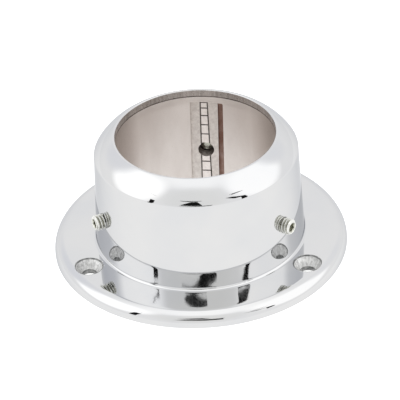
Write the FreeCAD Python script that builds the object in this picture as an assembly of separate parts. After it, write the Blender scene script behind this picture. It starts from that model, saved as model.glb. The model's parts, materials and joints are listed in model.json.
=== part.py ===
"""Stanchion base: a plated zinc casting that holds a 60.3 mm post with three set screws.

Millimetres, +Z up. The origin is the centre of the flange's underside, where the
base stands on the deck. The post stands in the bore along +Z.
"""
import FreeCAD, Part
import math
import os

V = FreeCAD.Vector
UP = V(0, 0, 1)
ORIGIN = V(0, 0, 0)

# ---- flange ------------------------------------------------------------------
flange_radius = 57.15          # 4.5 in across
flange_thickness = 5.5
flange_edge_round = 5.0        # rolled top edge
hole_circle_radius = 48.4
hole_angle = 86.0              # first flange hole, anticlockwise from +X
hole_radius = 3.1              # clears a number 12 screw
countersink_radius = 5.4
countersink_depth = 3.6
countersink_rim = 0.45         # how much wider the softened rim is
countersink_rim_depth = 0.3

# ---- cup ---------------------------------------------------------------------
cup_height = 50.0
cup_root_radius = 40.6         # outer wall where it leaves the root fillet
shoulder_radius = 39.2         # outer wall where the dome begins
shoulder_height = 42.4
shoulder_round = 1.5
root_fillet = 1.2
dome_start_slope = 29.0        # degrees from vertical, just above the shoulder
rim_width = 0.9
rim_round = 0.35

# ---- bore --------------------------------------------------------------------
bore_radius = 30.3             # sliding room for a 60.3 mm post
lip_radius = 30.75
lip_height = 3.2
lead_in_height = 1.6
foot_chamfer = 0.8

# ---- set screws, 1/4-20 UNC x 3/8 in ------------------------------------------
screw_count = 3
screw_angle = 82.5             # back screw, anticlockwise from +X
screw_height = 22.0
screw_end_radius = 43.7        # how far out the driven end stands
screw_length = 9.525
thread_pitch = 1.27
thread_major_radius = 3.1
thread_depth = 0.64
thread_root_flat = 0.16        # width of the groove's floor
thread_flank_angle = 30.0
thread_clearance = 0.3         # how far outside the blank the cutter reaches
hex_across_flats = 3.175
hex_depth = 3.0
cup_point_radius = 1.7
cup_point_depth = 0.6
screw_hole_radius = 3.15
screw_names = ["back", "left", "right"]

# ---- screw lands inside the bore ----------------------------------------------
# Offsets are measured along the wall, anticlockwise, from the screw's axis.
land_floor = 31.0              # distance of the flat land from the bore axis
land_low = -6.6
land_high = 6.1
land_top = 44.6
groove_low = -6.9
groove_high = -4.7
groove_floor = 33.2
groove_top = land_top - 0.2
land_lean = 1.2                # degrees, the whole land leans towards its groove
land_lean_height = 10.0
pad_low_foot = -1.65           # the pads narrow towards the top
pad_low_top = -0.35
pad_high = 1.9
pad_pitch = 4.3
first_pad_pitch = 2.6
pad_pitch_growth = 0.9
pad_gap = 0.4
pad_depth = 0.4
ladder_top = land_top - 0.3

# ---- hollow underside ----------------------------------------------------------
core_inner_radius = 34.6
core_outer_radius = 37.4
core_top = 37.0
core_half_angle = 46.0         # each pocket's half width, between two screw bosses


def polar(radius, degrees, height=0.0):
    """A point at a radius, an angle about Z and a height."""
    angle = math.radians(degrees)
    return V(radius * math.cos(angle), radius * math.sin(angle), height)


def at_angle(shape, degrees):
    """A copy of a shape, turned about Z."""
    turned = shape.copy()
    turned.rotate(ORIGIN, UP, degrees)
    return turned


def arc_from_tangent(start, end, slope):
    """The arc from start to end in the XZ plane that leaves start at slope.

    slope is in degrees from +Z towards the axis.
    """
    tangent = V(-math.sin(math.radians(slope)), 0, math.cos(math.radians(slope)))
    normal = V(-tangent.z, 0, tangent.x)
    chord = end - start
    radius = chord.dot(chord) / (2 * chord.dot(normal))
    centre = start + normal * radius
    middle = (start + end) * 0.5 - centre
    middle.normalize()
    return Part.Arc(start, centre + middle * abs(radius), end).toShape()


def revolve(edges):
    """A solid of revolution about Z from closed edges in the XZ plane."""
    face = Part.Face(Part.Wire(edges))
    return face.revolve(ORIGIN, UP, 360)


def ring_edges(shape, height):
    """The edges of a shape that lie at one height."""
    found = []
    for edge in shape.Edges:
        box = edge.BoundBox
        if box.ZMin > height - 0.01 and box.ZMax < height + 0.01:
            found.append(edge)
    return found


def outer_body():
    """Flange and cup as one solid, with the dome, rim and root fillet."""
    land = flange_thickness - flange_edge_round
    edge_top = V(flange_radius - flange_edge_round, 0, flange_thickness)
    edge_foot = V(flange_radius, 0, land)
    edge_centre = V(flange_radius - flange_edge_round, 0, land)
    edge_middle = edge_centre + V(1, 0, 1) * (flange_edge_round / math.sqrt(2))
    root_foot = V(cup_root_radius + root_fillet, 0, flange_thickness)
    root_top = V(cup_root_radius, 0, flange_thickness + root_fillet)
    root_centre = V(cup_root_radius + root_fillet, 0, flange_thickness + root_fillet)
    root_middle = root_centre - V(1, 0, 1) * (root_fillet / math.sqrt(2))
    shoulder = V(shoulder_radius, 0, shoulder_height)
    rim = V(lip_radius + rim_width, 0, cup_height)
    foot_edge = V(flange_radius, 0, 0)
    top = V(0, 0, cup_height)
    edges = [
        Part.makeLine(ORIGIN, foot_edge),
        Part.makeLine(foot_edge, edge_foot),
        Part.Arc(edge_foot, edge_middle, edge_top).toShape(),
        Part.makeLine(edge_top, root_foot),
        Part.Arc(root_foot, root_middle, root_top).toShape(),
        Part.makeLine(root_top, shoulder),
        arc_from_tangent(shoulder, rim, dome_start_slope),
        Part.makeLine(rim, top),
        Part.makeLine(top, ORIGIN),
    ]
    body = revolve(edges)
    return body.makeFillet(shoulder_round, ring_edges(body, shoulder_height))


def bore():
    """The post's bore: foot chamfer, straight wall, lead-in and lip."""
    lip_foot = cup_height - lip_height
    lead_foot = lip_foot - lead_in_height
    profile = [
        V(0, 0, -1),
        V(bore_radius + foot_chamfer + 1, 0, -1),
        V(bore_radius, 0, foot_chamfer),
        V(bore_radius, 0, lead_foot),
        V(lip_radius, 0, lip_foot),
        V(lip_radius, 0, cup_height + 1),
        V(0, 0, cup_height + 1),
    ]
    return revolve(Part.makePolygon(profile + profile[:1]).Edges)


def flange_hole():
    """A countersunk hole at the +X side of the flange's hole circle."""
    overshoot = 1.0
    drill = Part.makeCylinder(hole_radius, flange_thickness + 2 * overshoot, V(0, 0, -overshoot))
    seat_foot = flange_thickness - countersink_depth
    growth = (countersink_radius - hole_radius) / countersink_depth
    seat_radius = countersink_radius + growth * overshoot
    seat = Part.makeCone(hole_radius, seat_radius, countersink_depth + overshoot, V(0, 0, seat_foot))
    rim_radius = countersink_radius - growth * countersink_rim_depth
    rim_growth = (countersink_radius + countersink_rim - rim_radius) / countersink_rim_depth
    rim_top = rim_radius + rim_growth * (countersink_rim_depth + overshoot)
    rim_foot = V(0, 0, flange_thickness - countersink_rim_depth)
    rim = Part.makeCone(rim_radius, rim_top, countersink_rim_depth + overshoot, rim_foot)
    hole = drill.fuse(seat).fuse(rim)
    hole.translate(V(hole_circle_radius, 0, 0))
    return hole


def slab(offset_low, offset_high, near, far, low, high):
    """A box on the +X side: wall offsets along Y, distances from the axis along X."""
    size = (far - near, offset_high - offset_low, high - low)
    return Part.makeBox(*size, V(near, offset_low, low))


def pad_panel(margin, near, far, low, high):
    """A tapered panel on the +X side that is wider than the pads by a margin each side."""
    taper = (pad_low_top - pad_low_foot) / land_top
    corners = [
        V(near, pad_low_foot + taper * low - margin, low),
        V(near, pad_high + margin, low),
        V(near, pad_high + margin, high),
        V(near, pad_low_foot + taper * high - margin, high),
    ]
    return Part.Face(Part.makePolygon(corners + corners[:1])).extrude(V(far - near, 0, 0))


def pad_gaps():
    """The narrow gaps round the pads of one land, on the +X side."""
    near = land_floor - 0.3
    far = land_floor + pad_depth
    gaps = pad_panel(pad_gap, near, far, -1, ladder_top)
    top = ladder_top - pad_gap
    pitch = first_pad_pitch
    while top > pad_pitch:
        gaps = gaps.cut(pad_panel(0, near - 1, far + 1, top - pitch + pad_gap, top))
        top -= pitch
        pitch = min(pitch + pad_pitch_growth, pad_pitch)
    return gaps


def screw_land():
    """The flat land behind one set screw, on the +X side, with its pads and groove."""
    inside = bore_radius - 3.0
    foot = -1.0
    cut = slab(land_low, land_high, inside, land_floor, foot, land_top)
    cut = cut.fuse(slab(groove_low, groove_high, inside, groove_floor, foot, groove_top))
    cut = cut.fuse(pad_gaps())
    cut.rotate(V(0, 0, land_lean_height), V(1, 0, 0), land_lean)
    return cut


def screw_hole():
    """The radial hole for one set screw, on the +X side."""
    start = bore_radius - 3.0
    length = flange_radius - start
    return Part.makeCylinder(screw_hole_radius, length, V(start, 0, screw_height), V(1, 0, 0))


def underside_pocket():
    """One cored pocket between two screw bosses, centred on the +X side."""
    height = core_top + 1
    sweep = 2 * core_half_angle
    outer = Part.makeCylinder(core_outer_radius, height, V(0, 0, -1), UP, sweep)
    inner = Part.makeCylinder(core_inner_radius, height, V(0, 0, -1), UP, sweep)
    return at_angle(outer.cut(inner), -core_half_angle)


def make_casting():
    """The casting."""
    body = outer_body().cut(bore())
    body = body.makeFillet(rim_round, ring_edges(body, cup_height))
    spacing = 360.0 / screw_count
    for index in range(screw_count):
        turn = index * spacing
        body = body.cut(at_angle(flange_hole(), hole_angle + turn))
        body = body.cut(at_angle(screw_land(), screw_angle + turn))
        body = body.cut(at_angle(screw_hole(), screw_angle + turn))
        body = body.cut(at_angle(underside_pocket(), screw_angle + turn + spacing / 2))
    return body.Solids[0]


def thread_cutter(length):
    """A helical V groove about Z, running past both ends of a blank of that length."""
    overshoot = thread_pitch
    root = thread_major_radius - thread_depth
    outside = thread_major_radius + thread_clearance
    half_root = thread_root_flat / 2
    half_crest = half_root + thread_depth * math.tan(math.radians(thread_flank_angle))
    helix = Part.makeLongHelix(thread_pitch, length + 2 * overshoot, root)
    profile = [
        V(root, 0, -half_root),
        V(thread_major_radius, 0, -half_crest),
        V(outside, 0, -half_crest),
        V(outside, 0, half_crest),
        V(thread_major_radius, 0, half_crest),
        V(root, 0, half_root),
    ]
    wire = Part.makePolygon(profile + profile[:1])
    cutter = Part.Wire(helix.Edges).makePipeShell([wire], True, True)
    if cutter.Volume < 0:
        cutter.reverse()
    cutter.translate(V(0, 0, -overshoot))
    return cutter


def set_screw():
    """One set screw along +Z, its point at 0 and its hex socket at the far end."""
    end_chamfer = thread_depth
    minor = thread_major_radius - end_chamfer
    outline = [
        V(0, 0, cup_point_depth),
        V(cup_point_radius - cup_point_depth, 0, cup_point_depth),
        V(cup_point_radius, 0, 0),
        V(thread_major_radius, 0, thread_major_radius - cup_point_radius),
        V(thread_major_radius, 0, screw_length - end_chamfer),
        V(minor, 0, screw_length),
        V(0, 0, screw_length),
    ]
    blank = revolve(Part.makePolygon(outline + outline[:1]).Edges)
    blank = blank.cut(thread_cutter(screw_length))
    hex_radius = hex_across_flats / math.sqrt(3)
    corners = [polar(hex_radius, 60 * k, screw_length - hex_depth) for k in range(6)]
    socket = Part.Face(Part.makePolygon(corners + corners[:1])).extrude(V(0, 0, hex_depth + 1))
    cone_height = hex_radius * 0.55
    bottom = Part.makeCone(0, hex_radius, cone_height, V(0, 0, screw_length - hex_depth - cone_height))
    mouth_radius = hex_radius + 0.25
    mouth = Part.makeCone(hex_radius - 0.35, mouth_radius, 0.6, V(0, 0, screw_length - 0.6))
    return blank.cut(socket.fuse(bottom).fuse(mouth)).Solids[0]


def place_screw(screw, degrees):
    """A copy of the screw, lying along the radius at an angle, driven end outwards."""
    placed = screw.copy()
    placed.rotate(ORIGIN, V(0, 1, 0), 90)
    placed.translate(V(screw_end_radius - screw_length, 0, screw_height))
    return at_angle(placed, degrees)


def main():
    os.makedirs("parts", exist_ok=True)
    casting = make_casting()
    nodes = {"base_casting": casting}
    screw = set_screw()
    for index, name in enumerate(screw_names):
        degrees = screw_angle + index * 360.0 / screw_count
        nodes["set_screw_" + name] = place_screw(screw, degrees)
    for name, shape in nodes.items():
        shape.exportStep("parts/" + name + ".step")
        print(name, "valid", shape.isValid(), "volume mm3", round(shape.Volume, 1))


main()
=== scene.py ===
"""Visual model of a chrome-plated stanchion base with three hex-socket set screws.

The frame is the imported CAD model, in metres, +Z up, standing on z = 0.
The casting is rebuilt as a fine mesh so that the polished plating mirrors cleanly.
"""
import json
import math

import bmesh
import bpy
from mathutils import Matrix, Quaternion, Vector


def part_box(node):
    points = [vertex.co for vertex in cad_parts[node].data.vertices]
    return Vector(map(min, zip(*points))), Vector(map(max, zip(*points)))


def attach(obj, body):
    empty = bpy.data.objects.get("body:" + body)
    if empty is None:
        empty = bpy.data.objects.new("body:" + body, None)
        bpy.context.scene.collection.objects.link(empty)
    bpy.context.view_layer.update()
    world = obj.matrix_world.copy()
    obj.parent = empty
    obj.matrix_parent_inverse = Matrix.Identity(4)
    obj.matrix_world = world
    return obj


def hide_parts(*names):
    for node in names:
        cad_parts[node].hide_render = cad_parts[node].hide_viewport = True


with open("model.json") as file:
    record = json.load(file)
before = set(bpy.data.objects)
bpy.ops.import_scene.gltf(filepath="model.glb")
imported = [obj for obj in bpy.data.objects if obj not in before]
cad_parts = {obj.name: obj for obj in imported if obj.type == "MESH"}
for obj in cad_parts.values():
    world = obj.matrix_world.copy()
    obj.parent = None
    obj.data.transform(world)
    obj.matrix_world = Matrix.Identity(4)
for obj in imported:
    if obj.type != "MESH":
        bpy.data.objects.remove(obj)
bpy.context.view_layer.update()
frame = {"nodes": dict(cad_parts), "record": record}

MM = 0.001
CASTING = "base_casting"
SCREW_NAMES = ("back", "left", "right")

# ---- driving sizes, from the frame where it states them ------------------------
casting_low, casting_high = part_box(CASTING)
flange_radius = casting_high[0]
cup_height = casting_high[2]
mounts = {mount["name"]: mount for mount in frame["record"]["mounts"]}
bore_radius = mounts["post_socket"]["dims"]["r_mm"] * MM
hole_circle_radius = mounts["flange_screws"]["dims"]["pcd_mm"] * MM / 2
hole_radius = mounts["flange_screws"]["dims"]["hole_r_mm"] * MM

# ---- sizes of the casting, metres ----------------------------------------------
flange_thickness = 5.5 * MM
flange_edge_round = 5.0 * MM
hole_angle = 86.0
countersink_radius = 5.4 * MM
countersink_depth = 3.6 * MM
countersink_rim_round = 0.4 * MM
cup_root_radius = 40.6 * MM
root_fillet = 1.2 * MM
shoulder_radius = 39.2 * MM
shoulder_height = 42.4 * MM
shoulder_round = 1.5 * MM
dome_start_slope = 29.0
lip_radius = 30.75 * MM
lip_height = 3.2 * MM
lead_in_height = 1.6 * MM
lip_line_width = 0.45 * MM
rim_width = 0.9 * MM
rim_round = 0.35 * MM
foot_chamfer = 0.8 * MM
screw_angle = 82.5
screw_height = 22.0 * MM
screw_hole_radius = 3.15 * MM
screw_end_radius = 43.7 * MM
screw_root_radius = 2.45 * MM
screw_socket_radius = 1.9 * MM
screw_crest_radius = 3.05 * MM
thread_pitch = 1.27 * MM
thread_depth = 0.5 * MM
land_floor = 31.0 * MM
land_low = -6.6 * MM
land_high = 6.1 * MM
land_top = 44.6 * MM
groove_low = -6.9 * MM
groove_high = -4.7 * MM
groove_floor = 33.2 * MM
groove_top = land_top - 0.2 * MM
land_lean = 1.2
land_lean_height = 10.0 * MM
pad_low_foot = -1.65 * MM
pad_low_top = -0.35 * MM
pad_high = 1.9 * MM
pad_pitch = 4.3 * MM
first_pad_pitch = 2.6 * MM
pad_pitch_growth = 0.9 * MM
pad_gap = 0.5 * MM
pad_depth = 0.4 * MM
ladder_top = land_top - 0.3 * MM
core_inner_radius = 34.6 * MM
core_outer_radius = 37.4 * MM
core_top = 37.0 * MM
core_half_angle = 46.0
inner_cut_start = bore_radius - 3 * MM

SEGMENTS = 288
SYMMETRY = 3
FLOOR_SIZE = 8.0


# ---- outline of the casting ------------------------------------------------------
def arc(centre, radius, start, end, steps):
    """Points (r, z) on an arc, angles in degrees from +r towards +z."""
    points = []
    for step in range(steps + 1):
        angle = math.radians(start + (end - start) * step / steps)
        points.append((centre[0] + radius * math.cos(angle), centre[1] + radius * math.sin(angle)))
    return points


def line(start, end, steps):
    """Points (r, z) between two ends, the ends left out."""
    points = []
    for step in range(1, steps):
        t = step / steps
        points.append((start[0] + (end[0] - start[0]) * t, start[1] + (end[1] - start[1]) * t))
    return points


def dome_arc(start, end, slope, steps):
    """The dome: an arc that leaves start at slope degrees from +z towards the axis."""
    tangent = Vector((-math.sin(math.radians(slope)), math.cos(math.radians(slope))))
    normal = Vector((-tangent.y, tangent.x))
    chord = Vector(end) - Vector(start)
    radius = chord.dot(chord) / (2 * chord.dot(normal))
    centre = Vector(start) + normal * radius
    first = math.degrees(math.atan2(start[1] - centre.y, start[0] - centre.x))
    last = math.degrees(math.atan2(end[1] - centre.y, end[0] - centre.x))
    return arc(centre, radius, first, last, steps)


def round_corner(before, corner, after, radius, steps):
    """Points that round the corner of two straight runs."""
    a = (Vector(before) - Vector(corner)).normalized()
    b = (Vector(after) - Vector(corner)).normalized()
    half = a.angle(b) / 2
    centre = Vector(corner) + (a + b).normalized() * (radius / math.sin(half))
    first = Vector(corner) + a * (radius / math.tan(half)) - centre
    last = Vector(corner) + b * (radius / math.tan(half)) - centre
    start = math.degrees(math.atan2(first.y, first.x))
    turn = math.degrees(math.atan2(first.x * last.y - first.y * last.x, first.dot(last)))
    return arc(centre, radius, start, start + turn, steps)


def casting_outline():
    """The closed (r, z) outline of the casting without its holes."""
    edge_foot_height = flange_thickness - flange_edge_round
    root_foot = (cup_root_radius + root_fillet, flange_thickness)
    root_top = (cup_root_radius, flange_thickness + root_fillet)
    shoulder = (shoulder_radius, shoulder_height)
    rim = (lip_radius + rim_width, cup_height)
    dome = dome_arc(shoulder, rim, dome_start_slope, 40)
    rim_outer = round_corner(dome[-2], rim, (0, cup_height), rim_round, 5)
    lip_top = (lip_radius, cup_height)
    rim_inner = round_corner(rim, lip_top, (lip_radius, 0), rim_round, 6)
    lip_foot = cup_height - lip_height
    points = [(flange_radius, 0)]
    points += arc((flange_radius - flange_edge_round, edge_foot_height), flange_edge_round, 0, 90, 24)
    points += line(points[-1], root_foot, 8)
    points += arc((root_foot[0], root_top[1]), root_fillet, -90, -180, 16)
    points += line(root_top, shoulder, 24)
    points += round_corner(root_top, shoulder, dome[1], shoulder_round, 8)
    points += [point for point in dome[2:-1] if point[1] < rim_outer[0][1]]
    points += rim_outer + rim_inner
    points += [(lip_radius, lip_foot + lip_line_width), (lip_radius, lip_foot)]
    points += [(bore_radius, lip_foot - lead_in_height)]
    points += line(points[-1], (bore_radius, foot_chamfer), 24)
    points += [(bore_radius, foot_chamfer), (bore_radius + foot_chamfer, 0)]
    return points


# ---- mesh helpers ----------------------------------------------------------------
def new_object(name, mesh_builder, material):
    mesh = bpy.data.meshes.new(name)
    builder = bmesh.new()
    mesh_builder(builder)
    bmesh.ops.recalc_face_normals(builder, faces=builder.faces)
    builder.to_mesh(mesh)
    builder.free()
    piece = bpy.data.objects.new(name, mesh)
    bpy.context.scene.collection.objects.link(piece)
    mesh.materials.append(material)
    return piece


def lathe(outline, segments):
    """A builder of the ring solid that a closed (r, z) outline sweeps about Z."""
    def build(builder):
        rings = []
        for k in range(segments):
            angle = 2 * math.pi * k / segments
            c, s = math.cos(angle), math.sin(angle)
            rings.append([builder.verts.new((r * c, r * s, z)) for r, z in outline])
        count = len(outline)
        for k in range(segments):
            here, there = rings[k], rings[(k + 1) % segments]
            for i in range(count):
                j = (i + 1) % count
                builder.faces.new((here[i], there[i], there[j], here[j]))
    return build


def plug(outline, segments, place):
    """A builder of a solid plug: an (r, z) outline from bottom to top, moved by place."""
    def build(builder):
        rings = []
        for r, z in outline:
            ring = []
            for k in range(segments):
                angle = 2 * math.pi * k / segments
                ring.append(builder.verts.new(place @ Vector((r * math.cos(angle), r * math.sin(angle), z))))
            rings.append(ring)
        for low, high in zip(rings, rings[1:]):
            for k in range(segments):
                n = (k + 1) % segments
                builder.faces.new((low[k], low[n], high[n], high[k]))
        builder.faces.new(rings[0][::-1])
        builder.faces.new(rings[-1])
    return build


def boxes(limits, place):
    """A builder of separate boxes, each given as (low corner, high corner), moved by place."""
    def build(builder):
        for low, high in limits:
            size = [high[axis] - low[axis] for axis in range(3)]
            middle = [(high[axis] + low[axis]) / 2 for axis in range(3)]
            matrix = place @ Matrix.Translation(middle) @ Matrix.Diagonal((*size, 1))
            bmesh.ops.create_cube(builder, size=1, matrix=matrix)
    return build


def cut(piece, cutter):
    """Cuts a cutter out of a piece for good and removes the cutter."""
    modifier = piece.modifiers.new("cut", "BOOLEAN")
    modifier.operation = "DIFFERENCE"
    modifier.solver = "EXACT"
    modifier.material_mode = "TRANSFER"
    modifier.object = cutter
    apply_modifiers(piece)
    bpy.data.objects.remove(cutter)


def apply_modifiers(piece):
    depsgraph = bpy.context.evaluated_depsgraph_get()
    mesh = bpy.data.meshes.new_from_object(piece.evaluated_get(depsgraph))
    piece.modifiers.clear()
    piece.data = mesh


# ---- materials -------------------------------------------------------------------
class Nodes:
    """Short calls for building one material's node tree."""

    def __init__(self, name):
        self.material = bpy.data.materials.new(name)
        self.material.use_nodes = True
        self.tree = self.material.node_tree
        self.shader = self.tree.nodes["Principled BSDF"]
        self.place = self.add("ShaderNodeTexCoord").outputs["Object"]

    def add(self, kind, **settings):
        node = self.tree.nodes.new(kind)
        for key, value in settings.items():
            setattr(node, key, value)
        return node

    def link(self, source, target):
        self.tree.links.new(source, target)

    def stretch(self, scale):
        """Object coordinates, scaled by axis."""
        mapping = self.add("ShaderNodeMapping")
        mapping.inputs["Scale"].default_value = scale
        self.link(self.place, mapping.inputs["Vector"])
        return mapping.outputs["Vector"]

    def split(self):
        """A node that gives the object coordinates as X, Y and Z."""
        node = self.add("ShaderNodeSeparateXYZ")
        self.link(self.place, node.inputs[0])
        return node

    def noise(self, size, detail=3.0, roughness=0.5, scale=(1, 1, 1)):
        """Noise between 0 and 1 whose lumps are size metres across."""
        node = self.add("ShaderNodeTexNoise")
        node.inputs["Scale"].default_value = 1 / size
        node.inputs["Detail"].default_value = detail
        node.inputs["Roughness"].default_value = roughness
        self.link(self.stretch(scale), node.inputs["Vector"])
        return node.outputs["Fac"]

    def spread(self, value, low, high, to_low, to_high):
        node = self.add("ShaderNodeMapRange")
        for name, number in (("From Min", low), ("From Max", high), ("To Min", to_low), ("To Max", to_high)):
            node.inputs[name].default_value = number
        self.link(value, node.inputs["Value"])
        return node.outputs["Result"]

    def mix(self, factor, first, second):
        """A colour between two colours or colour sockets."""
        node = self.add("ShaderNodeMix", data_type="RGBA")
        self.link(factor, node.inputs["Factor"])
        for socket, colour in ((node.inputs["A"], first), (node.inputs["B"], second)):
            if isinstance(colour, tuple):
                socket.default_value = (*colour, 1)
            else:
                self.link(colour, socket)
        return node.outputs["Result"]

    def bump(self, height, distance, strength=1.0, under=None):
        node = self.add("ShaderNodeBump")
        node.inputs["Strength"].default_value = strength
        node.inputs["Distance"].default_value = distance
        self.link(height, node.inputs["Height"])
        if under is not None:
            self.link(under, node.inputs["Normal"])
        return node.outputs["Normal"]


def polished_plating():
    """Bright chrome plate: faint waviness and hairline wipe marks."""
    m = Nodes("polished_chrome_plate")
    m.shader.inputs["Metallic"].default_value = 1.0
    tone = m.spread(m.noise(18 * MM, 2.0), 0.35, 0.65, 0.0, 1.0)
    m.link(m.mix(tone, (0.735, 0.74, 0.75), (0.765, 0.765, 0.765)), m.shader.inputs["Base Color"])
    wipe = m.noise(0.35 * MM, 2.0, 0.6, (1, 1, 0.05))
    m.shader.inputs["Specular Tint"].default_value = (0.72, 0.73, 0.75, 1)
    m.link(m.spread(wipe, 0.3, 0.8, 0.02, 0.05), m.shader.inputs["Roughness"])
    m.link(m.bump(m.noise(8 * MM, 1.0), 0.01 * MM), m.shader.inputs["Normal"])
    return m.material


def nickel_bore():
    """Satin nickel inside the bore, with painted shade that darkens it towards both sides along x."""
    m = Nodes("satin_nickel_bore")
    m.shader.inputs["Metallic"].default_value = 0.75
    cloud = m.spread(m.noise(14 * MM, 3.0, 0.55, (1, 1, 0.45)), 0.35, 0.68, 0.0, 1.0)
    base = m.mix(cloud, (0.74, 0.685, 0.65), (0.82, 0.77, 0.735))
    speckle = m.spread(m.noise(0.5 * MM, 2.0, 0.7), 0.62, 0.8, 0.0, 0.3)
    speckled = m.mix(speckle, base, (0.46, 0.40, 0.37))
    # Painted shade: the bore's colour darkens towards both sides along x.
    sides = m.add("ShaderNodeMath", operation="ABSOLUTE")
    m.link(m.split().outputs["X"], sides.inputs[0])
    painted_side_shade = m.spread(sides.outputs["Value"], bore_radius * 0.72, bore_radius, 0.0, 1.0)
    m.link(m.mix(painted_side_shade, speckled, (0.44, 0.385, 0.35)), m.shader.inputs["Base Color"])
    m.link(m.spread(m.noise(1.2 * MM, 3.0), 0.3, 0.7, 0.36, 0.50), m.shader.inputs["Roughness"])
    m.link(m.bump(m.noise(0.8 * MM, 3.0, 0.6), 0.02 * MM), m.shader.inputs["Normal"])
    return m.material


def lip_steel():
    """The turned lip at the mouth: darker and shinier, with fine upright tool marks."""
    m = Nodes("turned_lip")
    m.shader.inputs["Metallic"].default_value = 0.75
    marks = m.spread(m.noise(0.9 * MM, 3.0, 0.6, (1, 1, 0.04)), 0.35, 0.68, 0.0, 1.0)
    m.link(m.mix(marks, (0.34, 0.31, 0.29), (0.51, 0.475, 0.455)), m.shader.inputs["Base Color"])
    m.link(m.spread(m.noise(0.6 * MM, 2.0), 0.3, 0.7, 0.24, 0.38), m.shader.inputs["Roughness"])
    m.link(m.bump(m.noise(0.5 * MM, 2.0, 0.6, (1, 1, 0.04)), 0.02 * MM), m.shader.inputs["Normal"])
    return m.material


def cast_countersink():
    """The plated but unpolished cone of a countersink, with tool streaks down it."""
    m = Nodes("plated_countersink")
    m.shader.inputs["Metallic"].default_value = 0.8
    streaks = m.spread(m.noise(0.8 * MM, 3.0, 0.6, (1, 1, 0.15)), 0.36, 0.62, 0.0, 1.0)
    m.link(m.mix(streaks, (0.58, 0.58, 0.575), (0.93, 0.93, 0.925)), m.shader.inputs["Base Color"])
    m.link(m.spread(m.noise(1.1 * MM, 2.0), 0.3, 0.7, 0.38, 0.50), m.shader.inputs["Roughness"])
    m.link(m.bump(m.noise(1.6 * MM, 1.0), 0.01 * MM), m.shader.inputs["Normal"])
    return m.material


def countersink_edge_painted_shade():
    """Painted shade on a countersink's rim and in the hole below it: a dull dark grey."""
    m = Nodes("countersink_edge_painted_shade")
    m.shader.inputs["Metallic"].default_value = 0.6
    patch = m.spread(m.noise(1.5 * MM, 3.0), 0.35, 0.7, 0.0, 1.0)
    m.link(m.mix(patch, (0.13, 0.135, 0.135), (0.40, 0.40, 0.395)), m.shader.inputs["Base Color"])
    m.link(m.spread(m.noise(0.7 * MM, 2.0), 0.3, 0.7, 0.45, 0.6), m.shader.inputs["Roughness"])
    return m.material


def land_plate(name, dark, pale):
    """The as-cast land behind a set screw: paler than the bore, with a grainy skin."""
    m = Nodes(name)
    m.shader.inputs["Metallic"].default_value = 0.75
    grain = m.spread(m.noise(1.6 * MM, 4.0, 0.65), 0.35, 0.7, 0.0, 1.0)
    m.link(m.mix(grain, dark, pale), m.shader.inputs["Base Color"])
    m.link(m.spread(m.noise(0.9 * MM, 3.0), 0.3, 0.7, 0.38, 0.55), m.shader.inputs["Roughness"])
    m.link(m.bump(m.noise(0.5 * MM, 3.0, 0.6), 0.03 * MM), m.shader.inputs["Normal"])
    return m.material


def copper_groove():
    """Copper undercoat in the deep groove that the nickel hardly reached."""
    m = Nodes("copper_undercoat")
    m.shader.inputs["Metallic"].default_value = 0.7
    patch = m.spread(m.noise(5 * MM, 4.0, 0.6, (1, 1, 0.5)), 0.38, 0.66, 0.0, 1.0)
    m.link(m.mix(patch, (0.30, 0.165, 0.125), (0.50, 0.36, 0.31)), m.shader.inputs["Base Color"])
    m.link(m.spread(m.noise(0.8 * MM, 3.0), 0.3, 0.7, 0.45, 0.65), m.shader.inputs["Roughness"])
    m.link(m.bump(m.noise(0.6 * MM, 3.0), 0.03 * MM), m.shader.inputs["Normal"])
    return m.material


def pad_gap_painted_shade():
    """Painted shade in the narrow gaps round the pads: a near-black colour."""
    m = Nodes("pad_gap")
    m.shader.inputs["Metallic"].default_value = 0.6
    patch = m.spread(m.noise(1.5 * MM, 3.0), 0.35, 0.7, 0.0, 1.0)
    m.link(m.mix(patch, (0.05, 0.042, 0.036), (0.22, 0.19, 0.175)), m.shader.inputs["Base Color"])
    m.link(m.spread(m.noise(0.7 * MM, 2.0), 0.3, 0.7, 0.45, 0.6), m.shader.inputs["Roughness"])
    return m.material


def tapped_hole_painted_shade():
    """The tapped holes: dull metal in a dark colour that is painted shade for the inside of the holes."""
    m = Nodes("tapped_hole")
    m.shader.inputs["Metallic"].default_value = 0.9
    # Painted shade: a dark patchy colour for the shade inside the holes.
    mottle = m.spread(m.noise(1.1 * MM, 3.0, 0.6), 0.35, 0.68, 0.0, 1.0)
    m.link(m.mix(mottle, (0.16, 0.135, 0.12), (0.42, 0.38, 0.35)), m.shader.inputs["Base Color"])
    m.link(m.spread(m.noise(0.6 * MM, 2.0), 0.3, 0.7, 0.35, 0.5), m.shader.inputs["Roughness"])
    return m.material


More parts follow.
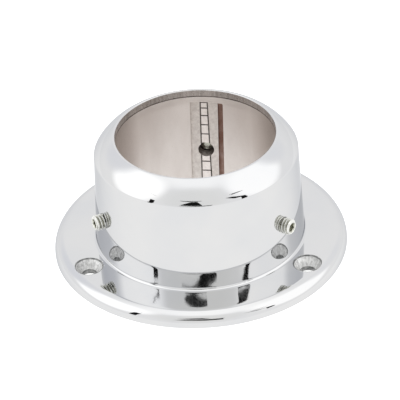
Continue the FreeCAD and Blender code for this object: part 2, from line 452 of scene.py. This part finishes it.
def screw_zinc(angle):
    """Clear zinc plate on the set screw at an angle: bright crests with dark specks, painted shade in the
    thread roots and the hex socket.
    """
    m = Nodes("zinc_plated_steel")
    m.shader.inputs["Metallic"].default_value = 1.0
    turn = m.add("ShaderNodeVectorRotate", rotation_type="Z_AXIS")
    turn.inputs["Angle"].default_value = -math.radians(angle)
    m.link(m.place, turn.inputs["Vector"])
    flatten = m.add("ShaderNodeMapping")
    flatten.inputs["Location"].default_value = (0, 0, -screw_height)
    flatten.inputs["Scale"].default_value = (0, 1, 1)
    m.link(turn.outputs["Vector"], flatten.inputs["Vector"])
    radius = m.add("ShaderNodeVectorMath", operation="LENGTH")
    m.link(flatten.outputs["Vector"], radius.inputs[0])
    crest = m.spread(radius.outputs["Value"], screw_root_radius, screw_crest_radius, 0.0, 1.0)
    along = m.add("ShaderNodeSeparateXYZ")
    m.link(turn.outputs["Vector"], along.inputs[0])
    end_face = m.spread(along.outputs["X"], screw_end_radius - MM, screw_end_radius - 0.7 * MM, 0.0, 1.0)
    outside = m.add("ShaderNodeMath", operation="MAXIMUM")
    m.link(crest, outside.inputs[0])
    m.link(end_face, outside.inputs[1])
    tint = m.spread(m.noise(1.8 * MM, 3.0), 0.35, 0.65, 0.0, 1.0)
    bright = m.mix(tint, (0.84, 0.84, 0.80), (0.93, 0.93, 0.90))
    mottle = m.spread(m.noise(0.45 * MM, 3.0, 0.7), 0.6, 0.8, 0.0, 0.35)
    soiled = m.mix(mottle, bright, (0.42, 0.42, 0.36))
    # Painted shade: the thread roots take a darker colour than the crests.
    thread = m.mix(outside.outputs["Value"], (0.46, 0.46, 0.40), soiled)
    # Painted shade: the hex socket takes a darker olive colour.
    socket = m.spread(radius.outputs["Value"], screw_socket_radius, screw_socket_radius + 0.2 * MM, 1.0, 0.0)
    m.link(m.mix(socket, thread, (0.62, 0.62, 0.54)), m.shader.inputs["Base Color"])
    m.link(m.spread(m.noise(0.5 * MM, 2.0), 0.3, 0.7, 0.24, 0.38), m.shader.inputs["Roughness"])
    m.link(m.bump(m.noise(0.35 * MM, 2.0), 0.01 * MM), m.shader.inputs["Normal"])
    return m.material


# ---- the casting -----------------------------------------------------------------
def flange_hole_outline():
    """A countersunk flange hole with a softly rounded rim, from bottom to top."""
    seat_foot = flange_thickness - countersink_depth
    slope = math.degrees(math.atan2(countersink_radius - hole_radius, countersink_depth))
    rim_start = flange_thickness - countersink_rim_round
    radius_there = countersink_radius - countersink_rim_round * math.tan(math.radians(slope))
    points = [(hole_radius, -MM), (hole_radius, seat_foot), (radius_there, rim_start)]
    steps = 8
    last_slope = 80
    flare = 0.6
    stride = countersink_rim_round / steps
    for step in range(1, steps + 1):
        lean = slope + (last_slope - slope) * step / steps
        last = points[-1]
        points.append((last[0] + stride * math.tan(math.radians(lean)) * flare, last[1] + stride))
    points.append((points[-1][0], flange_thickness + MM))
    return points


def cut_features(piece, looks):
    """Cuts every flange hole, land, groove, pad gap and tapped hole, each with its own surface."""
    spin = 360 / SYMMETRY
    radial = Matrix.Translation((0, 0, screw_height)) @ Matrix.Rotation(math.radians(90), 4, "Y")
    drill = tapped_hole_outline()
    for index in range(SYMMETRY):
        turn = Matrix.Rotation(math.radians(screw_angle + index * spin), 4, "Z")
        hole_turn = Matrix.Rotation(math.radians(hole_angle + index * spin), 4, "Z")
        hole_place = hole_turn @ Matrix.Translation((hole_circle_radius, 0, 0))
        cut(piece, new_object("cutter", plug(flange_hole_outline(), 96, hole_place), looks["countersink"]))
        land_place = land_frame(index)
        land = [((inner_cut_start, land_low, -MM), (land_floor, land_high, land_top))]
        cut(piece, new_object("cutter", boxes(land, land_place), looks["land"]))
        groove = [((inner_cut_start, groove_low, -MM), (groove_floor, groove_high, groove_top))]
        cut(piece, new_object("cutter", boxes(groove, land_place), looks["copper"]))
        cut(piece, pad_gaps(land_place, looks["gap_shade"]))
        cut(piece, new_object("cutter", plug(drill, 64, turn @ radial), looks["tapped"]))


def land_frame(index):
    """The frame of one land: its screw's direction along x, leaning as the land does."""
    turn = Matrix.Rotation(math.radians(screw_angle + index * 360 / SYMMETRY), 4, "Z")
    lean = Matrix.Translation((0, 0, land_lean_height)) @ Matrix.Rotation(math.radians(land_lean), 4, "X")
    return turn @ lean @ Matrix.Translation((0, 0, -land_lean_height))


def tapped_hole_outline():
    """The hole for a set screw, with a V groove for every turn of its thread."""
    start = land_floor + thread_pitch / 4
    stop = shoulder_radius
    points = [(screw_hole_radius, inner_cut_start), (screw_hole_radius, start)]
    while points[-1][1] + thread_pitch < stop:
        foot = points[-1][1]
        points.append((screw_hole_radius + thread_depth, foot + thread_pitch * 0.45))
        points.append((screw_hole_radius, foot + thread_pitch))
    points.append((screw_hole_radius, flange_radius))
    return points


def pad_panel(margin, near, far, low, high):
    """The corners of a tapered panel, wider than the pads by a margin each side."""
    taper = (pad_low_top - pad_low_foot) / land_top
    edge = [
        (pad_low_foot + taper * low - margin, low), (pad_high + margin, low),
        (pad_high + margin, high), (pad_low_foot + taper * high - margin, high),
    ]
    return [(near, y, z) for y, z in edge] + [(far, y, z) for y, z in edge]


def panels(corner_lists, place):
    """A builder of separate panels, each given by its four near and four far corners."""
    def build(builder):
        for corners in corner_lists:
            verts = [builder.verts.new(place @ Vector(corner)) for corner in corners]
            builder.faces.new(verts[:4])
            builder.faces.new(verts[:3:-1])
            for i in range(4):
                j = (i + 1) % 4
                builder.faces.new((verts[i], verts[4 + i], verts[4 + j], verts[j]))
    return build


def pad_gaps(place, look):
    """A cutter for the narrow gaps round the pads: a panel with the pads left out."""
    near = land_floor - 0.3 * MM
    far = land_floor + pad_depth
    ladder = new_object("cutter", panels([pad_panel(pad_gap, near, far, -MM, ladder_top)], place), look)
    pads = []
    top = ladder_top - pad_gap
    pitch = first_pad_pitch
    while top > pad_pitch:
        pads.append(pad_panel(0, near - MM, far + MM, top - pitch + pad_gap, top))
        top -= pitch
        pitch = min(pitch + pad_pitch_growth, pad_pitch)
    cut(ladder, new_object("pads", panels(pads, place), look))
    return ladder


def pocket_outline():
    return [
        (core_inner_radius, -MM), (core_outer_radius, -MM),
        (core_outer_radius, core_top), (core_inner_radius, core_top),
    ]


def pocket(angle):
    """A builder of one cored pocket: part of a ring, centred at angle."""
    steps = 96
    def build(builder):
        rings = []
        for step in range(steps + 1):
            a = math.radians(angle - core_half_angle + 2 * core_half_angle * step / steps)
            c, s = math.cos(a), math.sin(a)
            rings.append([builder.verts.new((r * c, r * s, z)) for r, z in pocket_outline()])
        for here, there in zip(rings, rings[1:]):
            for i in range(4):
                j = (i + 1) % 4
                builder.faces.new((here[i], there[i], there[j], here[j]))
        builder.faces.new(rings[0])
        builder.faces.new(rings[-1][::-1])
    return build


def shade_by_angle(piece, degrees):
    """Smooth shading that keeps edges sharper than the angle, weighted by face area."""
    mesh = piece.data
    mesh.shade_smooth()
    mesh.set_sharp_from_angle(angle=math.radians(degrees))
    weighted = piece.modifiers.new("normals", "WEIGHTED_NORMAL")
    weighted.keep_sharp = True
    weighted.weight = 100


def make_casting():
    looks = {
        "plating": polished_plating(),
        "bore": nickel_bore(),
        "lip": lip_steel(),
        "countersink": cast_countersink(),
        "painted_hole_shade": countersink_edge_painted_shade(),
        "land": land_plate("as_cast_land", (0.64, 0.59, 0.555), (0.80, 0.755, 0.715)),
        "pad": land_plate("as_cast_pad", (0.84, 0.78, 0.745), (0.97, 0.92, 0.885)),
        "copper": copper_groove(),
        "gap_shade": pad_gap_painted_shade(),
        "tapped": tapped_hole_painted_shade(),
    }
    piece = new_object("casting", lathe(casting_outline(), SEGMENTS), looks["plating"])
    for look in looks.values():
        if look.name not in piece.data.materials:
            piece.data.materials.append(look)
    lip_foot = cup_height - lip_height
    for polygon in piece.data.polygons:
        middle = polygon.center
        inside = math.hypot(middle.x, middle.y) < lip_radius + 0.02 * MM
        if inside and middle.z < cup_height - rim_round:
            look = looks["bore"]
            if middle.z > lip_foot:
                # The thin band at the foot of the lip takes the gap material, a painted shade line.
                look = looks["lip"] if middle.z > lip_foot + lip_line_width else looks["gap_shade"]
            polygon.material_index = piece.data.materials.find(look.name)
    cut_features(piece, looks)
    for index in range(SYMMETRY):
        angle = screw_angle + (index + 0.5) * 360 / SYMMETRY
        cut(piece, new_object("cutter", pocket(angle), looks["land"]))
    rim_foot = flange_thickness - countersink_rim_round
    seat_foot = flange_thickness - countersink_depth
    countersink_index = piece.data.materials.find(looks["countersink"].name)
    # The countersink's rim and the straight hole below it take painted shade.
    for polygon in piece.data.polygons:
        if polygon.material_index == countersink_index and not seat_foot < polygon.center.z < rim_foot:
            polygon.material_index = piece.data.materials.find(looks["painted_hole_shade"].name)
    paint_pads(piece, looks)
    shade_by_angle(piece, 24)
    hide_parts(CASTING)
    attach(piece, "base")
    return piece


def paint_pads(piece, looks):
    """Gives the faces that lie wholly within a row of pads their paler look."""
    mesh = piece.data
    land_index = mesh.materials.find(looks["land"].name)
    for index in range(SYMMETRY):
        back = land_frame(index).inverted()
        for polygon in mesh.polygons:
            if polygon.material_index == land_index:
                corners = [back @ mesh.vertices[corner].co for corner in polygon.vertices]
                if all(c.x > 0 and pad_low_foot < c.y < pad_high + 0.01 * MM for c in corners):
                    polygon.material_index = mesh.materials.find(looks["pad"].name)


def dress_screws():
    """The set screws keep their CAD shape and take the zinc plate."""
    for index, name in enumerate(SCREW_NAMES):
        node = frame["nodes"]["set_screw_" + name]
        node.data.materials.clear()
        node.data.materials.append(screw_zinc(screw_angle + index * 360 / SYMMETRY))


# ---- stage, light and camera -------------------------------------------------------
def direction(azimuth, elevation):
    """A unit vector. Azimuth 0 is the camera's side, and positive azimuth is to its right."""
    a, e = math.radians(azimuth), math.radians(elevation)
    return Vector((math.sin(a) * math.cos(e), -math.cos(a) * math.cos(e), math.sin(e)))


def matt(name, colour, glow):
    """A plain matt material. glow is the light that it gives off itself."""
    m = Nodes(name)
    m.shader.inputs["Base Color"].default_value = (*colour, 1)
    m.shader.inputs["Roughness"].default_value = 1.0
    m.shader.inputs["Specular IOR Level"].default_value = 0.0
    m.shader.inputs["Emission Color"].default_value = (1, 1, 1, 1)
    m.shader.inputs["Emission Strength"].default_value = glow
    return m.material


def stage_card(name, corners, material):
    """A flat card from its corners, which isn't part of the object."""
    mesh = bpy.data.meshes.new(name)
    mesh.from_pydata(corners, [], [range(len(corners))])
    piece = bpy.data.objects.new(name, mesh)
    bpy.context.scene.collection.objects.link(piece)
    mesh.materials.append(material)
    return piece


def reflected(name, azimuth, distance, outline):
    """An upright black card that only reflections show.

    outline holds (across, height) in millimetres, across being towards greater azimuth.
    """
    away = direction(azimuth, 0) * distance
    across = direction(azimuth + 90, 0)
    corners = [away + across * (u * MM) + Vector((0, 0, h * MM)) for u, h in outline]
    piece = stage_card(name, corners, matt(name, (0.01, 0.01, 0.01), 0.0))
    piece.visible_camera = False
    piece.visible_diffuse = False
    piece.visible_shadow = False


def make_stage():
    """A white floor for the camera, one for the plating to mirror, and dark studio shapes."""
    half = FLOOR_SIZE / 2
    square = [(-half, -half, 0), (half, -half, 0), (half, half, 0), (-half, half, 0)]
    seen = stage_card("floor", square, matt("floor", (0.9, 0.9, 0.9), 0.5))
    seen.visible_glossy = False
    seen.visible_diffuse = False
    seen.visible_shadow = False
    mirrored = stage_card("floor_mirrored", square, matt("floor_mirrored", (0, 0, 0), 1.04))
    mirrored.location.z = -0.2 * MM
    mirrored.visible_camera = False
    reflected("camera_operator", 0, 0.30, [(-120, 120), (65, 95), (65, 145), (-80, 145)])
    reflected("camera_operator_arm", 0, 0.30, [
        (5, 150), (70, 155), (75, 165), (25, 165), (-125, 180), (-20, 160)])
    reflected("camera_operator_body", 0, 0.30, [(-110, 185), (20, 170), (-10, 230), (-45, 230)])
    reflected("camera_operator_head", 0, 0.30, [
        (-100, 245), (-60, 235), (15, 235), (15, 240), (-40, 245), (-120, 255)])
    reflected("stand_left", -54, 0.40, [(10, 60), (45, 60), (50, 230), (15, 230)])
    reflected("stand_left_top", -54, 0.40, [(-55, 330), (30, 315), (35, 320), (-10, 320)])
    reflected("stand_right", 45, 0.40, [
        (45, 185), (35, 220), (-20, 250), (-60, 280), (-115, 300), (-50, 235),
        (0, 220), (-10, 150), (30, 160)])
    reflected("stand_right_top", 45, 0.40, [
        (20, 315), (55, 315), (10, 330), (-75, 345), (-50, 330), (-55, 320)])


def make_lights():
    """A studio all round: soft white boxes left, right and above, greyer in front and behind."""
    world = bpy.data.worlds.new("studio")
    bpy.context.scene.world = world
    world.use_nodes = True
    tree = world.node_tree
    sight = tree.nodes.new("ShaderNodeTexCoord").outputs["Generated"]
    patches = [
        ("above", 0, 90, 10, 38, (1.20, 1.20, 1.20)),
        ("box_left", -84, 38, 20, 34, (1.38, 1.38, 1.38)),
        ("box_right", 80, 40, 22, 36, (1.29, 1.29, 1.29)),
        ("front", -5, 34, 16, 38, (0.92, 0.92, 0.91)),
        ("dim_left", -132, 34, 6, 26, (0.87, 0.88, 0.915)),
        ("dim_right", 128, 34, 4, 22, (0.92, 0.925, 0.945)),
    ]
    colour = (0.97, 0.97, 0.975)
    for name, azimuth, elevation, inner, outer, tone in patches:
        near = tree.nodes.new("ShaderNodeVectorMath")
        near.operation = "DOT_PRODUCT"
        tree.links.new(sight, near.inputs[0])
        near.inputs[1].default_value = direction(azimuth, elevation)
        edge = tree.nodes.new("ShaderNodeMapRange")
        edge.interpolation_type = "SMOOTHSTEP"
        edge.inputs["From Min"].default_value = math.cos(math.radians(outer))
        edge.inputs["From Max"].default_value = math.cos(math.radians(inner))
        tree.links.new(near.outputs["Value"], edge.inputs["Value"])
        mix = tree.nodes.new("ShaderNodeMix")
        mix.label = name
        mix.data_type = "RGBA"
        tree.links.new(edge.outputs["Result"], mix.inputs["Factor"])
        if isinstance(colour, tuple):
            mix.inputs["A"].default_value = (*colour, 1)
        else:
            tree.links.new(colour, mix.inputs["A"])
        mix.inputs["B"].default_value = (*tone, 1)
        colour = mix.outputs["Result"]
    background = tree.nodes["Background"]
    tree.links.new(colour, background.inputs["Color"])
    background.inputs["Strength"].default_value = 1.0
    lamp = bpy.data.lights.new("bore_light", "AREA")
    lamp.energy = 1.5
    lamp.size = 0.2
    holder = bpy.data.objects.new("bore_light", lamp)
    holder.location = direction(0, 60)
    holder.rotation_mode = "QUATERNION"
    holder.rotation_quaternion = (-holder.location).to_track_quat("-Z", "Y")
    holder.visible_glossy = False
    holder.visible_camera = False
    bpy.context.scene.collection.objects.link(holder)


def make_camera():
    """A long lens, 35 degrees above the horizon, rolled a little as the object leans."""
    distance = 1.0
    elevation = math.radians(35.16)
    aim = Vector((0.00046, 0, 0.01891))
    roll = math.radians(-3.14)
    lens = bpy.data.cameras.new("camera")
    lens.sensor_width = 36
    lens.lens = 229.9
    lens.clip_start = 0.01
    camera = bpy.data.objects.new("camera", lens)
    camera.location = (0, -distance * math.cos(elevation), distance * math.sin(elevation))
    sight = (aim - camera.location).to_track_quat("-Z", "Y")
    camera.rotation_mode = "QUATERNION"
    camera.rotation_quaternion = sight @ Quaternion((0, 0, 1), roll)
    bpy.context.scene.collection.objects.link(camera)
    bpy.context.scene.camera = camera


make_casting()
dress_screws()
make_stage()
make_lights()
make_camera()
bpy.context.scene.view_settings.view_transform = "Standard"
